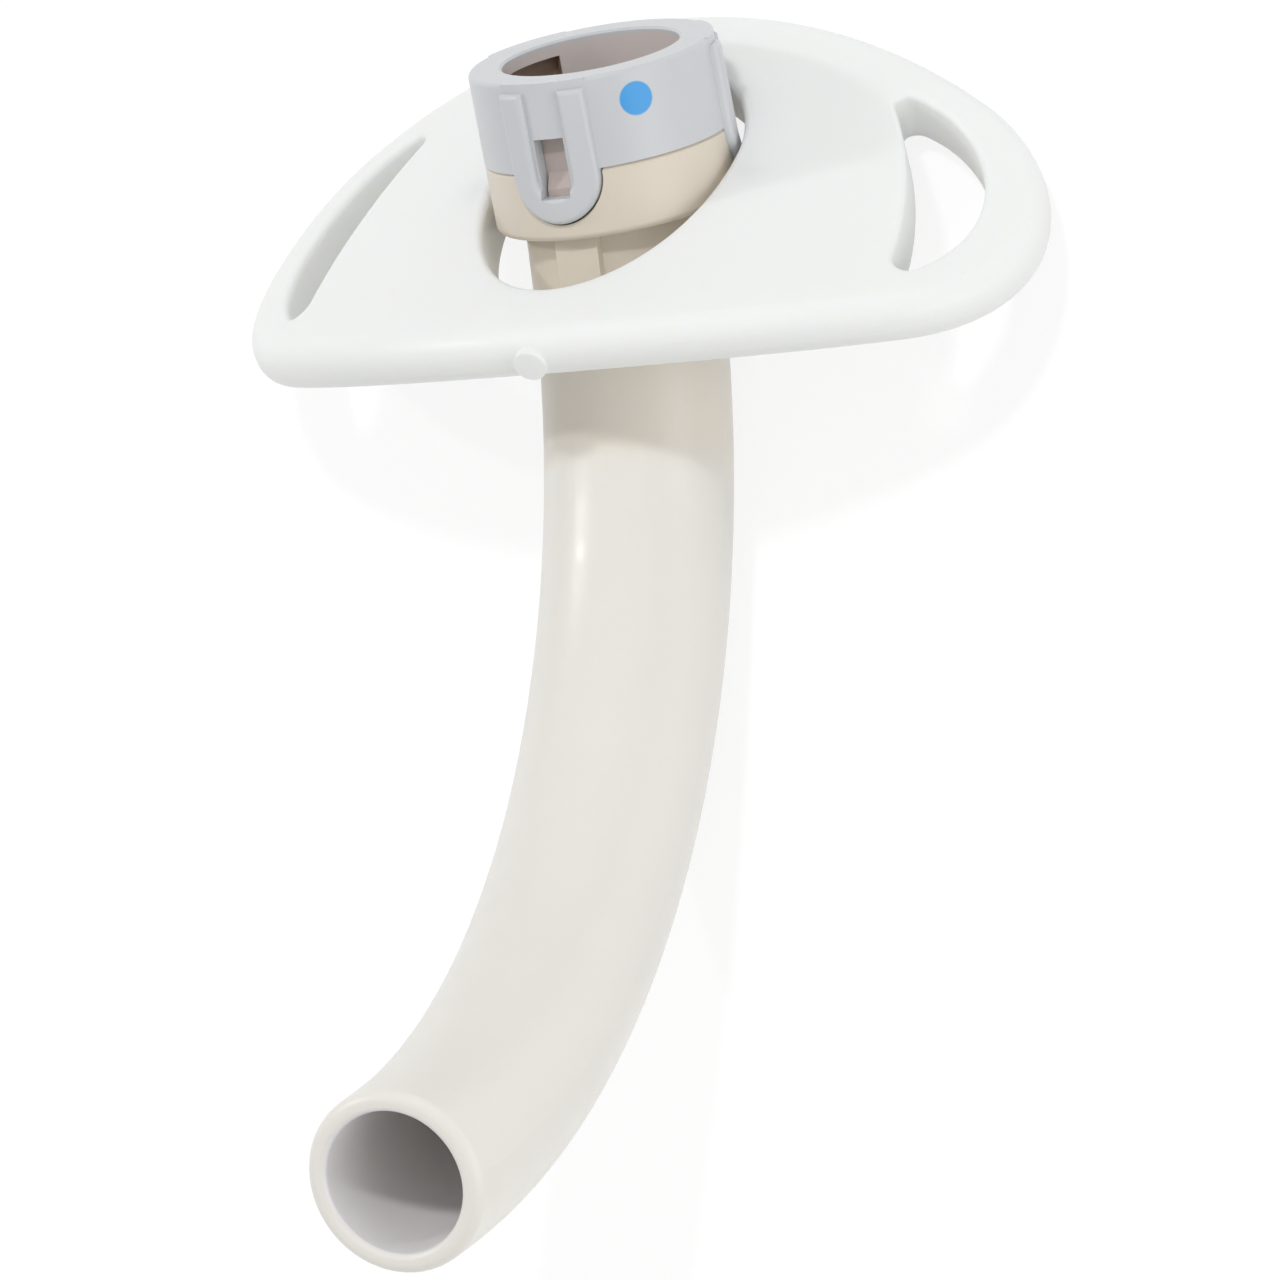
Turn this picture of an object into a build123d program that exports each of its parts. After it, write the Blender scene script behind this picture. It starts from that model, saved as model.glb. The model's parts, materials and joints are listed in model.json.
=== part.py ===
from build123d import *

import os
from math import cos, isclose, radians, sin, sqrt

# A cuffless tracheostomy tube: a curved tube bonded in a hub, a ring clipped on the hub and a neck plate that
# swivels on the hub's two pins. Millimetres and degrees. The pieces are drawn with the hub's axis along Z and the
# middle of the ring's rim at the origin. The tube bends towards -Y and the neck plate is wide along X.

# Tube
tube_od = 12.2
tube_wall = 1.35
neck_bend_radius = 61.0
neck_bend_angle = 5.2
main_bend_radius = 52.7
main_bend_angle = 76.3
tip_length = 3.4
tip_outer_rounding = 0.75
tip_inner_rounding = 0.4
joint_angle = 6.8
joint_wall = 0.65

# Ring and its clips
ring_height = 6.0
ring_wall = 1.0
ring_edge_rounding = 0.3
rim_thickness = 0.35
rim_chamfer = 0.15
clip_count = 3
front_clip_angle = -90.0
clip_width = 6.0
clip_drop = 9.3
clip_rib_width = 1.75
clip_rib_height = 0.45
clip_rib_rounding = 0.35
clip_rib_top = 0.6
clip_window_width = 2.1
clip_window_top = 3.7
clip_window_bottom = 7.6

# Hub
mouth_step = 1.05
mouth_depth = 4.8
barrel_wall = 1.15
barrel_gap = 0.05
recess_depth = 0.75
recess_top = 1.0
recess_height = 2.6
recess_arc = 84.0
collar_height = 4.5
collar_edge_rounding = 0.45
notch_gap = 0.12
barb_height = 0.55
barb_length = 1.5
barb_side_gap = 0.15
collar_top_chamfer = 0.25
barb_root = 0.4
barb_tip = 0.5
key_width = 3.0
key_rise = 0.45

# Swivel
pin_diameter = 2.2
pin_root = 0.5
pin_chamfer = 0.3
pin_fit = 0.05
pin_engagement = 1.5
pin_end_gap = 0.2
pin_rise = 0.6
back_tilt = 24.9
fore_tilt = 30.0

# Neck plate
plate_thickness = 3.6
plate_bend_radius = 54.2
plate_top_radius = 45.0
plate_bottom_radius = 41.0
plate_end_radius = 12.2
plate_edge_rounding = 1.65
web_above = 5.6
web_below = 5.4
window_side_gap = 0.6
window_rise = 1.8
window_gap = 0.4
window_edge_rounding = 0.4
slot_radius = 9.6
slot_rise = -0.3
slot_margin = 3.2
slot_width = 3.75
slot_inner_radius = 30.0
slot_inner_rise = -7.5
slot_corner_radius = 0.9
slot_lean = 10.0
gate_diameter = 2.2
gate_height = 0.35

# How far the whole leans back to lie on a table, on the tube's back and both wings of the neck plate
lie_back = 63.0

# Worked out from the sizes above
tube_bore = tube_od - 2 * tube_wall
mouth_bore = tube_bore + 2 * mouth_step
barrel_od = mouth_bore + 2 * barrel_wall
ring_bore = barrel_od + 2 * barrel_gap
ring_od = ring_bore + 2 * ring_wall
collar_od = ring_od
collar_bottom = -ring_height - collar_height
pivot_z = collar_bottom + pin_rise
joint_bore = tube_od - 2 * joint_wall
clip_angles = [front_clip_angle + 360 / clip_count * i for i in range(clip_count)]
clip_reach = ring_od / 2 + clip_rib_height

window_width = collar_od + 2 * window_side_gap
pin_reach = window_width / 2 + pin_engagement
pin_start = tube_od / 2 - pin_root
pin_middle = window_width / 2 + pin_engagement / 2
plate_sag = plate_bend_radius - sqrt(plate_bend_radius**2 - pin_middle**2)
face_rise = plate_thickness / 2 + plate_sag


def window_extent(reach, tilt):
    """How far the window runs from the pins to clear a radius on the hub when the plate is at a tilt."""
    return (reach + window_gap + face_rise * sin(radians(tilt))) / cos(radians(tilt))


window_above = window_extent(ring_od / 2, back_tilt)
window_below = window_extent(clip_reach, fore_tilt)
plate_top = window_above + web_above
plate_bottom = window_below + web_below


def clip_plane(angle):
    """The upright plane through the hub's axis that faces outwards at an angle."""
    a = radians(angle)
    return Plane(origin=(0, 0, 0), x_dir=(-sin(a), cos(a), 0), z_dir=(cos(a), sin(a), 0))


def radial_plane(angle):
    """The upright plane that holds the hub's axis and whose X points outwards at an angle."""
    a = radians(angle)
    return Plane(origin=(0, 0, 0), x_dir=(cos(a), sin(a), 0), z_dir=(sin(a), -cos(a), 0))


def across(path, at):
    """The plane square to a path at its start or its end."""
    return Plane(origin=path @ at, x_dir=(1, 0, 0), z_dir=path % at)


def clip_outline(width, drop, mode=Mode.ADD):
    """A clip seen from outside: straight sides down from the rim and a round lower end."""
    with Locations((0, width / 2 - drop)):
        Circle(width / 2, mode=mode)
        Rectangle(width, drop - width / 2, align=(Align.CENTER, Align.MIN), mode=mode)


def clip_window():
    """The window in a clip, seen from outside."""
    with Locations((0, -clip_window_bottom)):
        Rectangle(
            clip_window_width,
            clip_window_bottom - clip_window_top,
            align=(Align.CENTER, Align.MIN),
        )


def leaning(angle):
    """The neck plate's plane, leaning outwards at the +X wing by an angle."""
    lean = radians(angle)
    z = tilted.z_dir * cos(lean) + tilted.x_dir * sin(lean)
    return Plane(origin=tilted.origin, x_dir=tilted.x_dir * cos(lean) - tilted.z_dir * sin(lean), z_dir=z)


clip_planes = [clip_plane(angle) for angle in clip_angles]
tilted = Plane(
    origin=(0, 0, pivot_z),
    x_dir=(1, 0, 0),
    z_dir=(0, -sin(radians(back_tilt)), cos(radians(back_tilt))),
)
gate_plane = Plane(
    origin=tilted.from_local_coords(
        (0, plate_edge_rounding - plate_bottom, face_rise - plate_thickness / 2)
    ),
    x_dir=tilted.x_dir,
    z_dir=-tilted.y_dir,
)
across_plate = Plane(origin=tilted.origin, x_dir=tilted.x_dir, z_dir=-tilted.y_dir)

# Centre line: the mouth, the neck's bend, the stretch bonded in the hub, the long bend and the straight tip
with BuildLine(Plane.YZ) as mouth_line:
    mouth_run = Line((0, 0), (0, -mouth_depth))
with BuildLine(Plane.YZ) as neck_line:
    neck_bend = JernArc(mouth_run @ 1, mouth_run % 1, neck_bend_radius, -neck_bend_angle)
with BuildLine(Plane.YZ) as joint_line:
    joint_bend = JernArc(neck_bend @ 1, neck_bend % 1, neck_bend_radius, -joint_angle)
with BuildLine(Plane.YZ) as long_line:
    long_bend = JernArc(joint_bend @ 1, joint_bend % 1, main_bend_radius, -main_bend_angle)
    tip_line = Line(long_bend @ 1, long_bend @ 1 + tip_length * (long_bend % 1))

# Tube
with BuildPart() as outer_cannula:
    with BuildSketch(across(joint_bend, 0)):
        Circle(joint_bore / 2)
    sweep(path=joint_line.wires()[0])
    with BuildSketch(across(long_bend, 0)):
        Circle(tube_od / 2)
    sweep(path=long_line.wires()[0])
    with BuildSketch(across(joint_bend, 0)):
        Circle(tube_bore / 2)
    sweep(path=joint_line.wires()[0], mode=Mode.SUBTRACT)
    with BuildSketch(across(long_bend, 0)):
        Circle(tube_bore / 2)
    sweep(path=long_line.wires()[0], mode=Mode.SUBTRACT)
    tip_face = outer_cannula.faces().filter_by(GeomType.PLANE).sort_by(Axis.Z)[0]
    fillet(tip_face.edges().sort_by(SortBy.LENGTH)[-1], tip_outer_rounding)
    tip_face = outer_cannula.faces().filter_by(GeomType.PLANE).sort_by(Axis.Z)[0]
    fillet(tip_face.edges().sort_by(SortBy.LENGTH)[0], tip_inner_rounding)

# Hub: the tools for its notches and recesses first
with BuildPart() as notches:
    with BuildSketch(*clip_planes):
        clip_outline(clip_width + 2 * notch_gap, clip_drop + notch_gap)
    extrude(amount=collar_od)
    with BuildSketch(Plane.XY):
        Circle(barrel_od / 2)
    extrude(amount=-clip_drop - notch_gap, mode=Mode.SUBTRACT)

with BuildPart() as recesses:
    for side in (0, 180):
        with BuildSketch(radial_plane(side - recess_arc / 2)):
            with Locations((0, -recess_top)):
                Rectangle(mouth_bore / 2 + recess_depth, recess_height, align=(Align.MIN, Align.MAX))
        revolve(axis=Axis.Z, revolution_arc=recess_arc)

with BuildPart() as hub:
    with BuildSketch(Plane.XZ):
        with BuildLine():
            Polyline(
                (0, -rim_thickness),
                (barrel_od / 2, -rim_thickness),
                (barrel_od / 2, -ring_height),
                (collar_od / 2, -ring_height),
                (collar_od / 2, collar_bottom),
                (0, collar_bottom),
                close=True,
            )
        make_face()
    revolve(axis=Axis.Z)
    fillet(hub.edges().group_by(Axis.Z)[0], collar_edge_rounding)
    collar_top = hub.faces().filter_by(GeomType.PLANE).sort_by(Axis.Z)[1]
    chamfer(collar_top.edges().sort_by(SortBy.LENGTH)[-1], collar_top_chamfer)
    with BuildSketch(across(neck_bend, 0)):
        Circle(tube_od / 2)
    sweep(path=neck_line.wires()[0])
    with BuildSketch(across(joint_bend, 0)):
        Circle(tube_od / 2)
        # key along the front of the neck
        with Locations((0, tube_od / 2)):
            Rectangle(key_width, 2 * key_rise)
    sweep(path=joint_line.wires()[0])
    add(notches.part, mode=Mode.SUBTRACT)
    with BuildSketch(Plane.XY):
        Circle(mouth_bore / 2)
    extrude(amount=-mouth_depth, mode=Mode.SUBTRACT)
    add(recesses.part, mode=Mode.SUBTRACT)
    with BuildSketch(across(neck_bend, 0)):
        Circle(tube_bore / 2)
    sweep(path=neck_line.wires()[0], mode=Mode.SUBTRACT)
    with BuildSketch(across(joint_bend, 0)):
        Circle(joint_bore / 2)
    sweep(path=joint_line.wires()[0], mode=Mode.SUBTRACT)
    # barbs that the clips' windows snap over
    for angle in clip_angles:
        with BuildSketch(radial_plane(angle)):
            with BuildLine():
                Polyline(
                    (barrel_od / 2 - barb_root, -clip_window_bottom),
                    (barrel_od / 2 + barb_height, -clip_window_bottom),
                    (barrel_od / 2 + barb_height, barb_tip - clip_window_bottom),
                    (barrel_od / 2, barb_length - clip_window_bottom),
                    (barrel_od / 2 - barb_root, barb_length - clip_window_bottom),
                    close=True,
                )
            make_face()
        extrude(amount=clip_window_width / 2 - barb_side_gap, both=True)
    # pins
    for side in (-1, 1):
        with BuildSketch(Plane(origin=(side * pin_start, 0, pivot_z), x_dir=(0, 1, 0), z_dir=(side, 0, 0))):
            Circle(pin_diameter / 2)
        extrude(amount=pin_reach - pin_end_gap - pin_start)
    pin_ends = hub.faces().filter_by(GeomType.PLANE).sort_by(Axis.X)
    chamfer(pin_ends[0].edges() + pin_ends[-1].edges(), pin_chamfer)

# Ring: its clips and their ribs first
with BuildPart() as clips:
    with BuildSketch(*clip_planes):
        clip_outline(clip_width, clip_drop)
    extrude(amount=collar_od)
    with BuildSketch(Plane.XY):
        Circle(ring_od / 2)
        Circle(ring_bore / 2, mode=Mode.SUBTRACT)
    extrude(amount=-clip_drop, mode=Mode.INTERSECT)

with BuildPart() as clip_ribs:
    with BuildSketch(*clip_planes):
        clip_outline(clip_width, clip_drop)
        clip_outline(clip_width - 2 * clip_rib_width, clip_drop - clip_rib_width, Mode.SUBTRACT)
    extrude(amount=collar_od)
    with BuildSketch(Plane.XY.offset(-clip_rib_top)):
        Circle(clip_reach)
        Circle(ring_od / 2 - ring_wall / 2, mode=Mode.SUBTRACT)
    extrude(amount=-clip_drop, mode=Mode.INTERSECT)
    rib_fronts = clip_ribs.faces().filter_by(GeomType.CYLINDER)
    rib_fronts = rib_fronts.filter_by(lambda face: isclose(face.radius, clip_reach))
    fillet(rib_fronts.edges(), clip_rib_rounding)

with BuildPart() as clip_ring:
    with BuildSketch(Plane.XZ):
        with BuildLine():
            Polyline(
                (mouth_bore / 2, -rim_thickness),
                (mouth_bore / 2, -rim_chamfer),
                (mouth_bore / 2 + rim_chamfer, 0),
                (ring_od / 2, 0),
                (ring_od / 2, -ring_height),
                (ring_bore / 2, -ring_height),
                (ring_bore / 2, -rim_thickness),
                close=True,
            )
        make_face()
    revolve(axis=Axis.Z)
    fillet(clip_ring.edges().group_by(Axis.Z)[-1].sort_by(SortBy.LENGTH)[-1], ring_edge_rounding)
    add(clips.part)
    add(clip_ribs.part)
    with BuildSketch(*clip_planes):
        clip_window()
    extrude(amount=collar_od, mode=Mode.SUBTRACT)

# Neck plate: first the room that its window leaves for the tube
with BuildPart() as tube_room:
    with BuildSketch(across(joint_bend, 0)):
        Circle(tube_od / 2 + window_gap)
    sweep(path=joint_line.wires()[0])
    with BuildSketch(across(long_bend, 0)):
        Circle(tube_od / 2 + window_gap)
    sweep(path=long_line.wires()[0])

with BuildPart() as neck_plate:
    with BuildSketch(tilted) as outline:
        with Locations((0, plate_top - plate_top_radius)):
            Circle(plate_top_radius)
        with Locations((0, plate_bottom_radius - plate_bottom)):
            Circle(plate_bottom_radius, mode=Mode.INTERSECT)
        fillet(outline.vertices(), plate_end_radius)
    extrude(amount=plate_bend_radius / 2, both=True)
    with BuildSketch(across_plate):
        with Locations((0, face_rise - plate_bend_radius)):
            Circle(plate_bend_radius)
            Circle(plate_bend_radius - plate_thickness, mode=Mode.SUBTRACT)
    extrude(amount=plate_bottom + plate_top, both=True, mode=Mode.INTERSECT)
    sides = neck_plate.faces().sort_by(SortBy.AREA)[-2:]
    fillet(sides.edges(), plate_edge_rounding)
    plate_end = neck_plate.part.bounding_box().max.X
    with BuildSketch(tilted):
        with BuildLine():
            middle_line = (0, window_rise)
            half_width = window_width / 2
            EllipticalCenterArc(middle_line, half_width, window_above - window_rise, 0, arc_size=180)
            EllipticalCenterArc(middle_line, half_width, window_below + window_rise, 180, arc_size=180)
        make_face()
    extrude(amount=plate_bend_radius / 2, both=True, mode=Mode.SUBTRACT)
    with BuildSketch(leaning(slot_lean)) as slot:
        slot_reach = plate_end - slot_margin
        with Locations((slot_reach - slot_radius, slot_rise)):
            Circle(slot_radius)
        with Locations((slot_reach - slot_width - slot_inner_radius, slot_inner_rise)):
            Circle(slot_inner_radius, mode=Mode.SUBTRACT)
        fillet(slot.vertices(), slot_corner_radius)
    slot_cut = extrude(amount=slot_reach / 2, both=True, mode=Mode.SUBTRACT)
    mirror(slot_cut, about=Plane.YZ, mode=Mode.SUBTRACT)
    sides = neck_plate.faces().sort_by(SortBy.AREA)[-2:]
    rims = [edge for face in sides for wire in face.inner_wires() for edge in wire.edges()]
    fillet(rims, window_edge_rounding)
    add(tube_room.part, mode=Mode.SUBTRACT)
    with BuildSketch(Plane.YZ.offset(-pin_reach)):
        with Locations((0, pivot_z)):
            Circle(pin_diameter / 2 + pin_fit)
    extrude(amount=2 * pin_reach, mode=Mode.SUBTRACT)
    with BuildSketch(gate_plane):
        Circle(gate_diameter / 2)
    extrude(amount=gate_height + plate_edge_rounding)

pieces = {
    "outer_cannula": outer_cannula,
    "hub": hub,
    "clip_ring": clip_ring,
    "neck_plate": neck_plate,
}

# Lay the pieces down together, with the middle of their footprint at the origin
lie_down = Location((0, 0, 0), (-lie_back, 0, 0))
for piece in pieces.values():
    piece.part.move(lie_down)
extent = Compound([piece.part for piece in pieces.values()]).bounding_box()
middle = extent.center()
to_table = Location((-middle.X, -middle.Y, -extent.min.Z))

os.makedirs("parts", exist_ok=True)
for name, piece in pieces.items():
    piece.part.move(to_table)
    piece.part.label = name
    export_step(piece.part, f"parts/{name}.step")

# Where the points that others fasten to or turn about have come to lie
places = {
    "rim": Vector(0, 0, 0),
    "mouth": Vector(0, 0, -(rim_chamfer + mouth_depth) / 2),
    "pivot": Vector(0, 0, pivot_z),
    "tip": tip_line @ 1,
}
for name, place in places.items():
    print(name, (to_table * lie_down * Location(place)).position)
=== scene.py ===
"""Finishes, floor, lamps and camera for a cuffless tracheostomy tube with a neck plate that swivels."""

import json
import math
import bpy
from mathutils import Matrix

bl_info = {
    "name": "Tracheostomy Tube",
    "version": (1, 0, 0),
    "blender": (4, 5, 0),
    "location": "View3D > Sidebar > Tracheostomy",
    "description": "Plastics, floor, lamps and camera for a tracheostomy tube",
    "category": "Object",
}

import bpy
from bpy.props import FloatProperty, FloatVectorProperty, PointerProperty
from mathutils import Quaternion, Vector

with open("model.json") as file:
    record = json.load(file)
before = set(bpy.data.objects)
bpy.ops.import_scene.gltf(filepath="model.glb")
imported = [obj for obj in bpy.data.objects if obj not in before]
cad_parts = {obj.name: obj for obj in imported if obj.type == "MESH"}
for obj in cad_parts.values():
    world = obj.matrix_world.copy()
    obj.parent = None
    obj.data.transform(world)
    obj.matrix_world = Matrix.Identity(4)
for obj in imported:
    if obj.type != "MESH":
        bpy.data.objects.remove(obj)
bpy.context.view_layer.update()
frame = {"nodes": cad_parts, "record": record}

MM = 0.001
MOUTH = next(mount for mount in frame["record"]["mounts"] if mount["name"] == "mouth")
HUB_AXIS = Vector(MOUTH["axis"])

# How strongly plastic bends light, and how far red, green and blue light go in it, against each other
PLASTIC_IOR = 1.5
SCATTER_BY_COLOUR = (1.0, 0.9, 0.75)

# Noise runs from 0 to 1 and is mostly between these
NOISE_LOW = 0.3
NOISE_HIGH = 0.7

# The plastics' details: softness is how much light goes into one and comes out again, scatter how far,
# tones are the lightest and darkest shade of its colour, and a spread is what its roughness varies by
TUBE_SOFTNESS = 0.3
TUBE_SCATTER = 2 * MM
TUBE_TONES = (1.015, 0.975)
TUBE_SPREAD = (-0.05, 0.07)
TUBE_CLOUD_SIZE = 14 * MM
TUBE_HAZE_SIZE = 1.6 * MM
TUBE_HAZE_DEPTH = 0.004 * MM
DRAW_LINE_DEPTH = 0.012 * MM
DRAW_LINE_TURN = MM
# How softly the painted warm shade near the hub fades out round the bend
PAINTED_WARM_SHADE_FADE = math.radians(1.6)

HUB_SOFTNESS = 0.06
HUB_TONES = (1.03, 0.96)
HUB_SPREAD = (-0.04, 0.06)
HUB_FLOW_SIZE = 5 * MM
HUB_GRAIN_SIZE = 0.25 * MM
HUB_GRAIN_DEPTH = 0.004 * MM

RING_SOFTNESS = 0.06
RING_TONES = (1.03, 0.97)
RING_SPREAD = (-0.05, 0.06)
RING_FLOW_SIZE = 6 * MM
RING_GRAIN_SIZE = 0.22 * MM
RING_GRAIN_DEPTH = 0.004 * MM
DOT_FADE = 0.06 * MM
DOT_DEPTH = 0.015 * MM

PLATE_SOFTNESS = 0.5
PLATE_SCATTER = 2.5 * MM
PLATE_TONES = (1.01, 0.98)
PLATE_SPREAD = (-0.06, 0.08)
PLATE_CLOUD_SIZE = 18 * MM
PLATE_RIPPLE_SIZE = 2.4 * MM
PLATE_RIPPLE_DEPTH = 0.01 * MM
PLATE_GRAIN_DEPTH = 0.006 * MM

# Each lamp's spread in degrees, and where it stands along the camera's right, up and back
KEY_SPREAD = 6.0
KEY_PLACE = (-0.3, 0.53, 0.79)
STRIP_SPREAD = 4.0
STRIP_PLACE = (-0.924, 0.319, 0.209)
FILL_SPREAD = 50.0
FILL_PLACE = (0.8, -0.15, 0.62)

# How much light the floor gives back to the object, and how bright it looks where nothing shades it
FLOOR_RETURN = 0.9
FLOOR_WHITE = 1.03

# Width of the camera's sensor in millimetres, and the nearest and furthest that it sees in metres
SENSOR_WIDTH = 36.0
NEAREST = 0.1
FURTHEST = 20.0


# Settings


class TubeFinish(bpy.types.PropertyGroup):
    """The extruded tube."""

    colour: FloatVectorProperty(
        name="Colour",
        description="Colour of the tube's plastic",
        subtype="COLOR",
        size=3,
        min=0.0,
        max=1.0,
        default=(0.785, 0.765, 0.715),
    )
    roughness: FloatProperty(
        name="Roughness",
        description="How matt the tube's wall is",
        subtype="FACTOR",
        min=0.0,
        max=1.0,
        default=0.335,
    )
    # A painted warm shade: a tan tint near the hub that stands in for tan light bounced off the hub into
    # the plate's shadow on the tube
    painted_warm_shade_colour: FloatVectorProperty(
        name="Joint colour",
        description="Colour of the wall near the hub, where the tan joint shows faintly through it",
        subtype="COLOR",
        size=3,
        min=0.0,
        max=1.0,
        default=(0.80, 0.745, 0.665),
    )
    # Where round the bend the painted warm shade ends
    painted_warm_shade_end: FloatProperty(
        name="Joint end",
        description="Angle round the bend, from straight below its centre, where the joint's colour ends",
        subtype="ANGLE",
        default=math.radians(-4.6),
    )
    draw_width: FloatProperty(
        name="Draw line width",
        description="Width of the faint lines that extrusion leaves along the tube",
        unit="LENGTH",
        default=0.55 * MM,
    )
    bend_y: FloatProperty(
        name="Bend centre Y",
        description="Place along Y of the centre that the tube is bent round",
        unit="LENGTH",
        default=9.17 * MM,
    )
    bend_z: FloatProperty(
        name="Bend centre Z",
        description="Height of the centre that the tube is bent round",
        unit="LENGTH",
        default=58.8 * MM,
    )
    bend_radius: FloatProperty(
        name="Bend radius",
        description="Radius that the middle of the tube is bent to",
        unit="LENGTH",
        default=52.7 * MM,
    )
    # Painted shading of the bore: a neutral grey standing in for the cooler light inside it, not a colour
    # of the plastic's own
    bore_painted_shading: FloatVectorProperty(
        name="Bore colour",
        description="Colour of the tube's inner wall",
        subtype="COLOR",
        size=3,
        min=0.0,
        max=1.0,
        default=(0.79, 0.78, 0.78),
    )
    bore_reach: FloatProperty(
        name="Bore reach",
        description="How far from the tube's middle the bore's colour reaches",
        unit="LENGTH",
        default=4.9 * MM,
    )


class HubFinish(bpy.types.PropertyGroup):
    """The hub, moulded in a stiff tan plastic."""

    colour: FloatVectorProperty(
        name="Colour",
        description="Colour of the hub's plastic",
        subtype="COLOR",
        size=3,
        min=0.0,
        max=1.0,
        default=(0.705, 0.635, 0.535),
    )
    # Painted shade: the mouth's wall is the hub's tan, darkened and greyed where it lies in shade
    bore_painted_shading: FloatVectorProperty(
        name="Bore colour",
        description="Colour of the mouth's wall",
        subtype="COLOR",
        size=3,
        min=0.0,
        max=1.0,
        default=(0.63, 0.575, 0.555),
    )
    # Painted shade: the recesses are darkened to a deep brown where shade gathers in them
    painted_recess_shade: FloatVectorProperty(
        name="Recess colour",
        description="Colour of the two recesses in the mouth's wall",
        subtype="COLOR",
        size=3,
        min=0.0,
        max=1.0,
        default=(0.27, 0.19, 0.14),
    )
    # Painted shade: the barrel's outside is darkened where it lies in shade behind the ring's windows
    painted_barrel_shade: FloatVectorProperty(
        name="Barrel colour",
        description="Colour of the barrel's outside, seen through the ring's windows",
        subtype="COLOR",
        size=3,
        min=0.0,
        max=1.0,
        default=(0.51, 0.435, 0.405),
    )
    # How far out from the hub's axis each painted shade reaches
    bore_reach: FloatProperty(
        name="Bore reach",
        description="How far from the hub's axis the bore's colour reaches",
        unit="LENGTH",
        default=5.9 * MM,
    )
    recess_reach: FloatProperty(
        name="Recess reach",
        description="How far from the hub's axis the recesses' colour reaches",
        unit="LENGTH",
        default=6.75 * MM,
    )
    barrel_reach: FloatProperty(
        name="Barrel reach",
        description="How far from the hub's axis the barrel's colour reaches",
        unit="LENGTH",
        default=7.6 * MM,
    )
    # How far down the painted shades in and round the mouth reach
    barrel_depth: FloatProperty(
        name="Barrel depth",
        description="How far below the middle of the mouth's bore these colours reach",
        unit="LENGTH",
        default=6.6 * MM,
    )
    roughness: FloatProperty(
        name="Roughness",
        description="How matt the hub is",
        subtype="FACTOR",
        min=0.0,
        max=1.0,
        default=0.36,
    )


class RingFinish(bpy.types.PropertyGroup):
    """The clip ring, moulded in grey, and the dot printed on it."""

    colour: FloatVectorProperty(
        name="Colour",
        description="Colour of the ring's plastic",
        subtype="COLOR",
        size=3,
        min=0.0,
        max=1.0,
        default=(0.585, 0.60, 0.62),
    )
    roughness: FloatProperty(
        name="Roughness",
        description="How matt the ring is",
        subtype="FACTOR",
        min=0.0,
        max=1.0,
        default=0.34,
    )
    dot_colour: FloatVectorProperty(
        name="Dot colour",
        description="Colour of the printed size dot",
        subtype="COLOR",
        size=3,
        min=0.0,
        max=1.0,
        default=(0.05, 0.34, 0.75),
    )
    dot_radius: FloatProperty(
        name="Dot radius",
        description="Radius of the printed size dot",
        unit="LENGTH",
        default=1.1 * MM,
    )
    dot_place: FloatVectorProperty(
        name="Dot place",
        description="Middle of the printed size dot, on the ring's wall",
        subtype="XYZ",
        unit="LENGTH",
        size=3,
        default=(5.637 * MM, 34.618 * MM, 18.786 * MM),
    )


class PlateFinish(bpy.types.PropertyGroup):
    """The neck plate, moulded in soft white plastic."""

    colour: FloatVectorProperty(
        name="Colour",
        description="Colour of the plate's plastic",
        subtype="COLOR",
        size=3,
        min=0.0,
        max=1.0,
        default=(0.845, 0.86, 0.85),
    )
    roughness: FloatProperty(
        name="Roughness",
        description="How matt the plate is",
        subtype="FACTOR",
        min=0.0,
        max=1.0,
        default=0.42,
    )
    grain: FloatProperty(
        name="Grain",
        description="Size of the fine grain that the mould leaves",
        unit="LENGTH",
        default=0.3 * MM,
    )


class StageSettings(bpy.types.PropertyGroup):
    """Floor, lamps and camera."""

    floor_size: FloatProperty(
        name="Floor size",
        description="Side of the floor",
        unit="LENGTH",
        default=6.0,
    )
    floor_shade: FloatProperty(
        name="Floor shade",
        description="How much of the floor's white comes from the lamps, which is how dark its shadows get",
        subtype="FACTOR",
        min=0.0,
        max=1.0,
        default=0.2,
    )
    surround: FloatProperty(
        name="Surround",
        description="Strength of the even light from all round",
        default=0.565,
    )
    key_strength: FloatProperty(
        name="Key lamp",
        description="Strength of the main lamp, high in front",
        default=1.0,
    )
    strip_strength: FloatProperty(
        name="Strip lamp",
        description="Strength of the narrow lamp on the left, which draws the highlight down the tube",
        default=0.55,
    )
    fill_strength: FloatProperty(
        name="Fill lamp",
        description="Strength of the broad lamp on the right",
        default=0.95,
    )
    azimuth: FloatProperty(
        name="Azimuth",
        description="The camera's direction round the object",
        subtype="ANGLE",
        default=math.radians(66.605),
    )
    elevation: FloatProperty(
        name="Elevation",
        description="The camera's height above the horizon",
        subtype="ANGLE",
        default=math.radians(59.986),
    )
    roll: FloatProperty(
        name="Roll",
        description="How far the camera is turned about its own axis",
        subtype="ANGLE",
        default=math.radians(67.745),
    )
    distance: FloatProperty(
        name="Distance",
        description="From the camera to the point that it aims at",
        unit="LENGTH",
        default=2.0,
    )
    view_width: FloatProperty(
        name="View width",
        description="Width of the view at the point that the camera aims at",
        unit="LENGTH",
        default=81.56 * MM,
    )
    aim: FloatVectorProperty(
        name="Aim",
        description="The point in the middle of the view",
        subtype="XYZ",
        unit="LENGTH",
        size=3,
        default=(4.908 * MM, 0.155 * MM, 14.683 * MM),
    )


# Materials


def rgba(colour):
    """A colour with full cover."""
    return (*colour, 1.0)


def grey(level):
    """A grey with full cover, from 0, black, to 1, white."""
    return rgba((level,) * 3)


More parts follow.
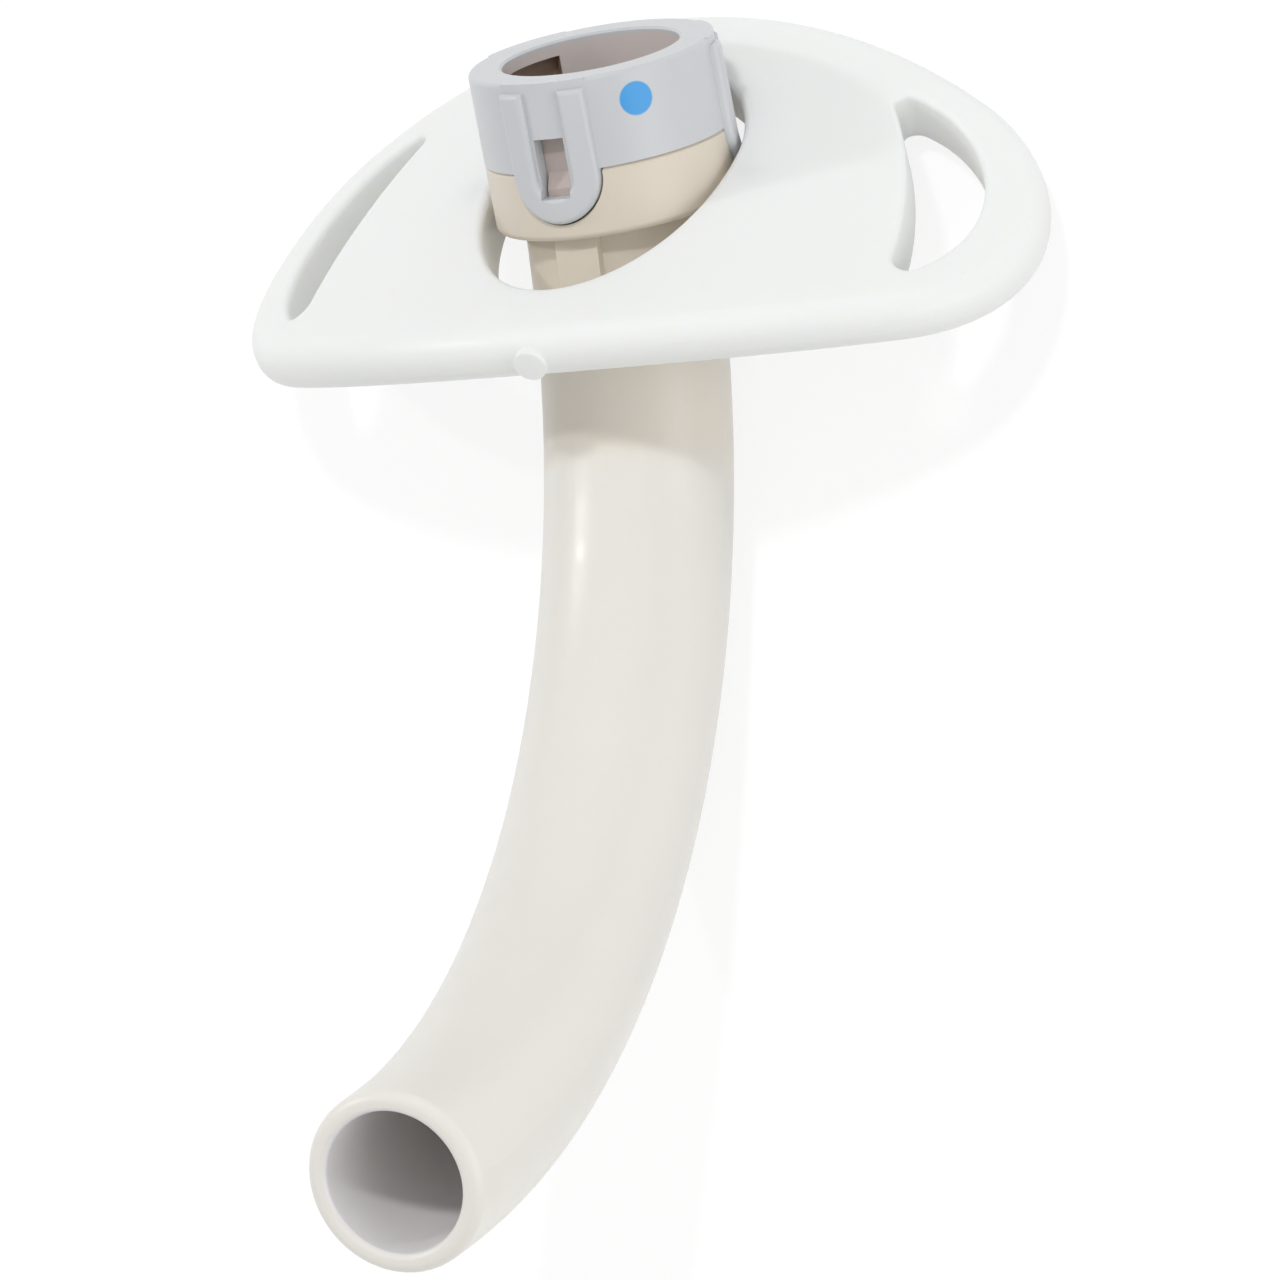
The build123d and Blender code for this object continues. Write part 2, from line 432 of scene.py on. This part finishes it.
class Plastic:
    """A node material for a plastic, built up from one Principled shader."""

    def __init__(self, name, colour, roughness, softness, scatter=MM):
        self.material = bpy.data.materials.new(name)
        self.material.use_nodes = True
        self.tree = self.material.node_tree
        self.shader = self.tree.nodes["Principled BSDF"]
        self.shader.inputs["Base Color"].default_value = rgba(colour)
        self.shader.inputs["Roughness"].default_value = roughness
        self.shader.inputs["IOR"].default_value = PLASTIC_IOR
        self.shader.inputs["Subsurface Weight"].default_value = softness
        self.shader.inputs["Subsurface Scale"].default_value = scatter
        self.shader.inputs["Subsurface Radius"].default_value = SCATTER_BY_COLOUR
        self.place = self.node("ShaderNodeTexCoord").outputs["Object"]

    def node(self, kind, **settings):
        """A new node with its settings."""
        made = self.tree.nodes.new(kind)
        for name, value in settings.items():
            setattr(made, name, value)
        return made

    def link(self, source, target):
        """Joins an output to an input."""
        self.tree.links.new(source, target)

    def noise(self, size, detail=2.0, place=None):
        """Noise whose features are about a size, at a place or the object's own."""
        made = self.node("ShaderNodeTexNoise")
        made.inputs["Scale"].default_value = 1.0 / size
        made.inputs["Detail"].default_value = detail
        self.link(place or self.place, made.inputs["Vector"])
        return made.outputs["Fac"]

    def within(self, value, limit, fade):
        """1 where a value is under a limit and 0 where it is over, fading from one to the other."""
        made = self.node("ShaderNodeMapRange", interpolation_type="SMOOTHSTEP")
        made.inputs["From Min"].default_value = limit + fade
        made.inputs["From Max"].default_value = limit - fade
        self.link(value, made.inputs["Value"])
        return made.outputs["Result"]

    def mixed(self, amount, first, second):
        """Two colours mixed by an amount, where either may be an output."""
        made = self.node("ShaderNodeMix", data_type="RGBA")
        self.link(amount, made.inputs["Factor"])
        for slot, value in (("A", first), ("B", second)):
            socket = next(s for s in made.inputs if s.name == slot and s.type == "RGBA")
            if isinstance(value, bpy.types.NodeSocket):
                self.link(value, socket)
            else:
                socket.default_value = rgba(value)
        return next(s for s in made.outputs if s.type == "RGBA")

    def toned(self, noise, colour, tones):
        """A colour that noise varies from its lightest tone to its darkest."""
        lightest, darkest = tones
        return self.mixed(noise, shade(colour, lightest), shade(colour, darkest))

    def maths(self, operation, first, second):
        """One sum on two values, where either may be an output."""
        made = self.node("ShaderNodeMath", operation=operation)
        for socket, value in zip(made.inputs, (first, second)):
            if isinstance(value, bpy.types.NodeSocket):
                self.link(value, socket)
            else:
                socket.default_value = value
        return made.outputs[0]

    def distance(self, first, second):
        """How far off a place is that lies at two distances along axes at a right angle."""
        squares = [self.maths("MULTIPLY", side, side) for side in (first, second)]
        return self.maths("SQRT", self.maths("ADD", *squares), 0.0)

    def bumps(self, *layers):
        """Fine relief from pairs of a height and its depth, one on the other."""
        normal = None
        for height, depth in layers:
            made = self.node("ShaderNodeBump")
            made.inputs["Strength"].default_value = 1.0
            made.inputs["Distance"].default_value = depth
            self.link(height, made.inputs["Height"])
            if normal:
                self.link(normal, made.inputs["Normal"])
            normal = made.outputs["Normal"]
        self.link(normal, self.shader.inputs["Normal"])

    def colour(self, output):
        """Feeds the shader's colour."""
        self.link(output, self.shader.inputs["Base Color"])

    def roughness(self, noise, middle, spread):
        """Feeds the shader's roughness, which noise takes down and up from its middle by a spread."""
        down, up = spread
        made = self.node("ShaderNodeMapRange")
        made.inputs["From Min"].default_value = NOISE_LOW
        made.inputs["From Max"].default_value = NOISE_HIGH
        made.inputs["To Min"].default_value = middle + down
        made.inputs["To Max"].default_value = middle + up
        self.link(noise, made.inputs["Value"])
        self.link(made.outputs["Result"], self.shader.inputs["Roughness"])

    def put_on(self, node):
        """Puts the material on a piece of the frame."""
        frame["nodes"][node].material_slots[0].material = self.material


def shade(colour, by):
    """A colour made lighter or darker."""
    return tuple(min(1.0, c * by) for c in colour)


# Pieces


class TRACH_OT_finish_tube(bpy.types.Operator):
    """Give the curved tube its satin extruded plastic"""

    bl_idname = "trach.finish_tube"
    bl_label = "Finish the tube"

    def execute(self, context):
        look = context.scene.trach_tube
        plastic = Plastic("tube_plastic", look.colour, look.roughness, TUBE_SOFTNESS, TUBE_SCATTER)

        # The draw lines' own axes: across the tube, out from the bend's centre, and along the bend, where
        # a whole radian counts for as little as DRAW_LINE_TURN, so that the lines are long
        to_centre = plastic.node("ShaderNodeVectorMath", operation="SUBTRACT")
        to_centre.inputs[0].default_value = (0.0, look.bend_y, look.bend_z)
        plastic.link(plastic.place, to_centre.inputs[1])
        apart = plastic.node("ShaderNodeSeparateXYZ")
        plastic.link(to_centre.outputs["Vector"], apart.inputs["Vector"])
        x, y, z = (apart.outputs[axis] for axis in "XYZ")
        out = plastic.distance(y, z)
        turn = plastic.maths("ARCTAN2", y, z)
        along = plastic.node("ShaderNodeCombineXYZ")
        slow_turn = plastic.maths("MULTIPLY", turn, DRAW_LINE_TURN)
        for axis, value in (("X", x), ("Y", out), ("Z", slow_turn)):
            plastic.link(value, along.inputs[axis])
        draw_lines = plastic.noise(look.draw_width, detail=3.0, place=along.outputs["Vector"])

        clouds = plastic.noise(TUBE_CLOUD_SIZE)
        haze = plastic.noise(TUBE_HAZE_SIZE, detail=4.0)
        wall = plastic.toned(clouds, look.colour, TUBE_TONES)
        # Painted warm shade: near the hub the wall is tinted tan, standing in for light bounced off the hub
        # into the plate's shadow
        joint = plastic.within(turn, look.painted_warm_shade_end, PAINTED_WARM_SHADE_FADE)
        outside = plastic.mixed(joint, wall, look.painted_warm_shade_colour)

        # The bore is all that lies near the bent line down the tube's middle. Its painted shading is a
        # neutral grey, a touch lighter and cooler than the outside, standing in for the light deep in the
        # bore; the real inner wall is the same warm plastic
        off_middle = plastic.maths("SUBTRACT", out, look.bend_radius)
        bore = plastic.maths("LESS_THAN", plastic.distance(x, off_middle), look.bore_reach)
        plastic.colour(plastic.mixed(bore, outside, look.bore_painted_shading))
        plastic.roughness(haze, look.roughness, TUBE_SPREAD)
        plastic.bumps((draw_lines, DRAW_LINE_DEPTH), (haze, TUBE_HAZE_DEPTH))
        plastic.put_on("outer_cannula")
        return {"FINISHED"}


class TRACH_OT_finish_hub(bpy.types.Operator):
    """Give the hub its tan moulded plastic"""

    bl_idname = "trach.finish_hub"
    bl_label = "Finish the hub"

    def execute(self, context):
        look = context.scene.trach_hub
        plastic = Plastic("hub_plastic", look.colour, look.roughness, HUB_SOFTNESS)
        flow = plastic.noise(HUB_FLOW_SIZE, detail=3.0)
        grain = plastic.noise(HUB_GRAIN_SIZE, detail=3.0)
        tone = plastic.toned(flow, look.colour, HUB_TONES)
        reach, high = self.round_axis(plastic, look.barrel_depth)

        # Painted shade in the mouth, its recesses and the ring's windows, from the outside in, because each
        # one covers the middle of the one before
        painted_shade_rings = (
            (look.barrel_reach, look.painted_barrel_shade),
            (look.recess_reach, look.painted_recess_shade),
            (look.bore_reach, look.bore_painted_shading),
        )
        for limit, colour in painted_shade_rings:
            within = plastic.maths("MULTIPLY", plastic.maths("LESS_THAN", reach, limit), high)
            tone = plastic.mixed(within, tone, colour)
        plastic.colour(tone)
        plastic.roughness(grain, look.roughness, HUB_SPREAD)
        plastic.bumps((grain, HUB_GRAIN_DEPTH))
        plastic.put_on("hub")
        return {"FINISHED"}

    def round_axis(self, plastic, depth):
        """How far a place is off the hub's axis, and 1 down to a depth below the mouth's middle."""
        from_mouth = plastic.node("ShaderNodeVectorMath", operation="SUBTRACT")
        from_mouth.inputs[1].default_value = MOUTH["pos_m"]
        plastic.link(plastic.place, from_mouth.inputs[0])
        along = plastic.node("ShaderNodeVectorMath", operation="DOT_PRODUCT")
        along.inputs[1].default_value = HUB_AXIS
        plastic.link(from_mouth.outputs["Vector"], along.inputs[0])
        off = plastic.node("ShaderNodeVectorMath", operation="CROSS_PRODUCT")
        off.inputs[1].default_value = HUB_AXIS
        plastic.link(from_mouth.outputs["Vector"], off.inputs[0])
        reach = plastic.node("ShaderNodeVectorMath", operation="LENGTH")
        plastic.link(off.outputs["Vector"], reach.inputs[0])
        return reach.outputs["Value"], plastic.maths("GREATER_THAN", along.outputs["Value"], -depth)


class TRACH_OT_finish_ring(bpy.types.Operator):
    """Give the clip ring its grey moulded plastic and its printed dot"""

    bl_idname = "trach.finish_ring"
    bl_label = "Finish the ring"

    def execute(self, context):
        look = context.scene.trach_ring
        plastic = Plastic("ring_plastic", look.colour, look.roughness, RING_SOFTNESS)
        flow = plastic.noise(RING_FLOW_SIZE)
        grain = plastic.noise(RING_GRAIN_SIZE, detail=3.0)
        moulded = plastic.toned(flow, look.colour, RING_TONES)

        # The dot is all that lies within its radius of its middle, with a soft printed edge
        gap = plastic.node("ShaderNodeVectorMath", operation="DISTANCE")
        gap.inputs[1].default_value = look.dot_place
        plastic.link(plastic.place, gap.inputs[0])
        printed = plastic.within(gap.outputs["Value"], look.dot_radius, DOT_FADE)
        plastic.colour(plastic.mixed(printed, moulded, look.dot_colour))
        plastic.roughness(grain, look.roughness, RING_SPREAD)
        plastic.bumps((grain, RING_GRAIN_DEPTH), (printed, DOT_DEPTH))
        plastic.put_on("clip_ring")
        return {"FINISHED"}


class TRACH_OT_finish_plate(bpy.types.Operator):
    """Give the neck plate its soft white moulded plastic"""

    bl_idname = "trach.finish_plate"
    bl_label = "Finish the neck plate"

    def execute(self, context):
        look = context.scene.trach_plate
        plastic = Plastic("plate_plastic", look.colour, look.roughness, PLATE_SOFTNESS, PLATE_SCATTER)
        clouds = plastic.noise(PLATE_CLOUD_SIZE)
        ripple = plastic.noise(PLATE_RIPPLE_SIZE, detail=1.0)
        grain = plastic.noise(look.grain, detail=4.0)
        plastic.colour(plastic.toned(clouds, look.colour, PLATE_TONES))
        plastic.roughness(grain, look.roughness, PLATE_SPREAD)
        plastic.bumps((ripple, PLATE_RIPPLE_DEPTH), (grain, PLATE_GRAIN_DEPTH))
        plastic.put_on("neck_plate")
        return {"FINISHED"}


# Stage


def view_axes(stage):
    """The camera's right, up and back, from its azimuth, elevation and roll."""
    level = math.cos(stage.elevation)
    back = Vector(
        (math.sin(stage.azimuth) * level, -math.cos(stage.azimuth) * level, math.sin(stage.elevation))
    )
    plain_up = (Vector((0, 0, 1)) - back * back.z).normalized()
    plain_right = plain_up.cross(back)
    up = plain_up * math.cos(stage.roll) + plain_right * math.sin(stage.roll)
    return up.cross(back), up, back


class TRACH_OT_stage(bpy.types.Operator):
    """Lay the pale floor, light it softly and set the camera"""

    bl_idname = "trach.stage"
    bl_label = "Set the stage"

    def execute(self, context):
        stage = context.scene.trach_stage
        axes = view_axes(stage)
        self.floor(stage)
        self.surround(context, stage)

        # The key lamp draws no highlight, so that the strip lamp's is seen by itself
        key = self.lamp("key_lamp", stage.key_strength, KEY_SPREAD, KEY_PLACE, axes)
        key.visible_glossy = False
        self.lamp("strip_lamp", stage.strip_strength, STRIP_SPREAD, STRIP_PLACE, axes)
        self.lamp("fill_lamp", stage.fill_strength, FILL_SPREAD, FILL_PLACE, axes)
        self.camera(context, stage, axes)
        context.scene.view_settings.view_transform = "Standard"
        return {"FINISHED"}

    def floor(self, stage):
        """A paper floor whose white is mostly its own glow, but that lights the object as paper does."""
        bpy.ops.object.select_all(action="DESELECT")
        bpy.ops.mesh.primitive_plane_add(size=stage.floor_size)
        floor = bpy.context.object
        floor.name = "floor"
        paper = bpy.data.materials.new("floor_paper")
        paper.use_nodes = True
        tree = paper.node_tree
        tree.nodes.clear()
        link = tree.links.new
        output = tree.nodes.new("ShaderNodeOutputMaterial")
        path = tree.nodes.new("ShaderNodeLightPath")
        seen = tree.nodes.new("ShaderNodeMath")
        seen.operation = "MAXIMUM"
        seen_through = tree.nodes.new("ShaderNodeMath")
        seen_through.operation = "MAXIMUM"
        link(path.outputs["Is Camera Ray"], seen.inputs[0])
        link(path.outputs["Is Glossy Ray"], seen.inputs[1])
        link(seen.outputs[0], seen_through.inputs[0])
        link(path.outputs["Is Transmission Ray"], seen_through.inputs[1])
        lit = tree.nodes.new("ShaderNodeBsdfDiffuse")
        lit.inputs["Color"].default_value = grey(FLOOR_RETURN)
        shaded = tree.nodes.new("ShaderNodeBsdfDiffuse")
        shaded.inputs["Color"].default_value = grey(stage.floor_shade)
        glow = tree.nodes.new("ShaderNodeEmission")
        glow.inputs["Strength"].default_value = FLOOR_WHITE - stage.floor_shade
        both = tree.nodes.new("ShaderNodeAddShader")
        link(shaded.outputs[0], both.inputs[0])
        link(glow.outputs[0], both.inputs[1])
        choice = tree.nodes.new("ShaderNodeMixShader")
        link(seen_through.outputs[0], choice.inputs["Fac"])
        link(lit.outputs[0], choice.inputs[1])
        link(both.outputs[0], choice.inputs[2])
        link(choice.outputs[0], output.inputs["Surface"])
        floor.data.materials.append(paper)

    def surround(self, context, stage):
        """Even light from all round, and plain white past the floor's edge."""
        world = bpy.data.worlds.new("even_light")
        world.use_nodes = True
        context.scene.world = world
        tree = world.node_tree
        tree.nodes.clear()
        link = tree.links.new
        output = tree.nodes.new("ShaderNodeOutputWorld")
        path = tree.nodes.new("ShaderNodeLightPath")
        even = tree.nodes.new("ShaderNodeBackground")
        even.inputs["Strength"].default_value = stage.surround
        white = tree.nodes.new("ShaderNodeBackground")
        white.inputs["Strength"].default_value = 1.0
        for background in (even, white):
            background.inputs["Color"].default_value = grey(1.0)
        choice = tree.nodes.new("ShaderNodeMixShader")
        link(path.outputs["Is Camera Ray"], choice.inputs["Fac"])
        link(even.outputs[0], choice.inputs[1])
        link(white.outputs[0], choice.inputs[2])
        link(choice.outputs[0], output.inputs["Surface"])

    def lamp(self, name, strength, spread, place, axes):
        """A sun lamp that shines from its place along the camera's axes."""
        right, up, back = axes
        towards = place[0] * right + place[1] * up + place[2] * back
        bpy.ops.object.select_all(action="DESELECT")
        bpy.ops.object.light_add(type="SUN", location=towards.normalized())
        lamp = bpy.context.object
        lamp.name = name
        lamp.rotation_euler = towards.to_track_quat("Z", "Y").to_euler()
        lamp.data.energy = strength
        lamp.data.angle = math.radians(spread)
        return lamp

    def camera(self, context, stage, axes):
        """A camera that looks at its aim, turned so that its own up is the view's."""
        _, up, back = axes
        bpy.ops.object.select_all(action="DESELECT")
        bpy.ops.object.camera_add(location=Vector(stage.aim) + back * stage.distance)
        camera = bpy.context.object
        camera.name = "camera"
        turned = back.to_track_quat("Z", "Y")
        level_up = turned @ Vector((0, 1, 0))
        level_right = turned @ Vector((1, 0, 0))
        roll = math.atan2(-up.dot(level_right), up.dot(level_up))
        camera.rotation_mode = "QUATERNION"
        camera.rotation_quaternion = Quaternion(back, roll) @ turned
        camera.data.sensor_width = SENSOR_WIDTH
        camera.data.lens = SENSOR_WIDTH * stage.distance / stage.view_width
        camera.data.clip_start = NEAREST
        camera.data.clip_end = FURTHEST
        context.scene.camera = camera


class TRACH_PT_panel(bpy.types.Panel):
    """The steps and the settings, in the sidebar"""

    bl_idname = "TRACH_PT_panel"
    bl_label = "Tracheostomy Tube"
    bl_space_type = "VIEW_3D"
    bl_region_type = "UI"
    bl_category = "Tracheostomy"

    def draw(self, context):
        for operator, settings in STEPS:
            box = self.layout.box()
            box.operator(operator.bl_idname)
            group = getattr(context.scene, settings)
            for name in group.__annotations__:
                box.prop(group, name)


SETTINGS = {
    "trach_tube": TubeFinish,
    "trach_hub": HubFinish,
    "trach_ring": RingFinish,
    "trach_plate": PlateFinish,
    "trach_stage": StageSettings,
}
STEPS = (
    (TRACH_OT_finish_tube, "trach_tube"),
    (TRACH_OT_finish_hub, "trach_hub"),
    (TRACH_OT_finish_ring, "trach_ring"),
    (TRACH_OT_finish_plate, "trach_plate"),
    (TRACH_OT_stage, "trach_stage"),
)


def register():
    for name, group in SETTINGS.items():
        bpy.utils.register_class(group)
        setattr(bpy.types.Scene, name, PointerProperty(type=group))
    for operator, _ in STEPS:
        bpy.utils.register_class(operator)
    bpy.utils.register_class(TRACH_PT_panel)


def unregister():
    bpy.utils.unregister_class(TRACH_PT_panel)
    for operator, _ in STEPS:
        bpy.utils.unregister_class(operator)
    for name, group in SETTINGS.items():
        delattr(bpy.types.Scene, name)
        bpy.utils.unregister_class(group)


def main():
    register()
    bpy.ops.trach.finish_tube()
    bpy.ops.trach.finish_hub()
    bpy.ops.trach.finish_ring()
    bpy.ops.trach.finish_plate()
    bpy.ops.trach.stage()


if __name__ == "__main__":
    main()
